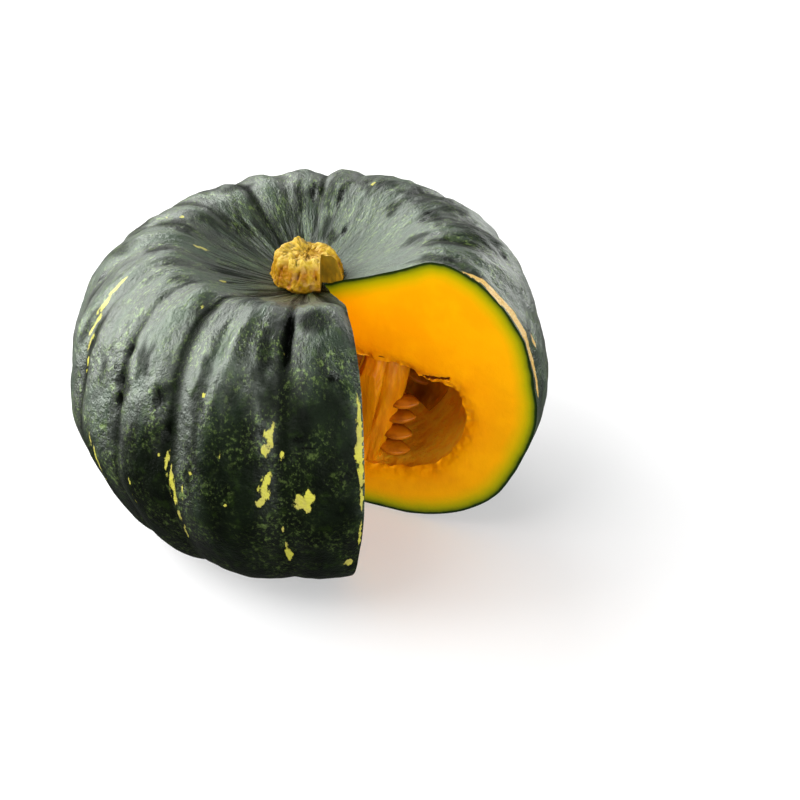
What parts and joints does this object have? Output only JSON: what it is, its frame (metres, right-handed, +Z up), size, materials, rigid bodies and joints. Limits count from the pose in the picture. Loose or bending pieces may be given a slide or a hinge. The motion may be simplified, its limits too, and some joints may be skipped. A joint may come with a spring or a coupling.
{
  "type": "kabocha squash",
  "caption": "Squat ribbed squash with a corky stem and one wedge cut out, showing the flesh and a seed hollow lined with pulp and seeds.",
  "frame": {"origin": "on the squash's own upright axis, on the surface it rests on", "axes": "+Z up out of the stem, -Y the side the cut is seen from, +X to the right of it"},
  "size_m": [0.1897, 0.1887, 0.1211],
  "materials": {
    "squash": "waxy dark green rind over orange flesh",
    "stem": "dry corky",
    "pulp": "moist fibrous"
  },
  "bodies": {
    "root": {"squash": "squash", "stem": "stem", "pulp_strand": "pulp", "pulp_band_1": "pulp", "pulp_band_2": "pulp", "pulp_band_3": "pulp", "pulp_band_4": "pulp", "pulp_band_5": "pulp"}
  },
  "joints": []
}
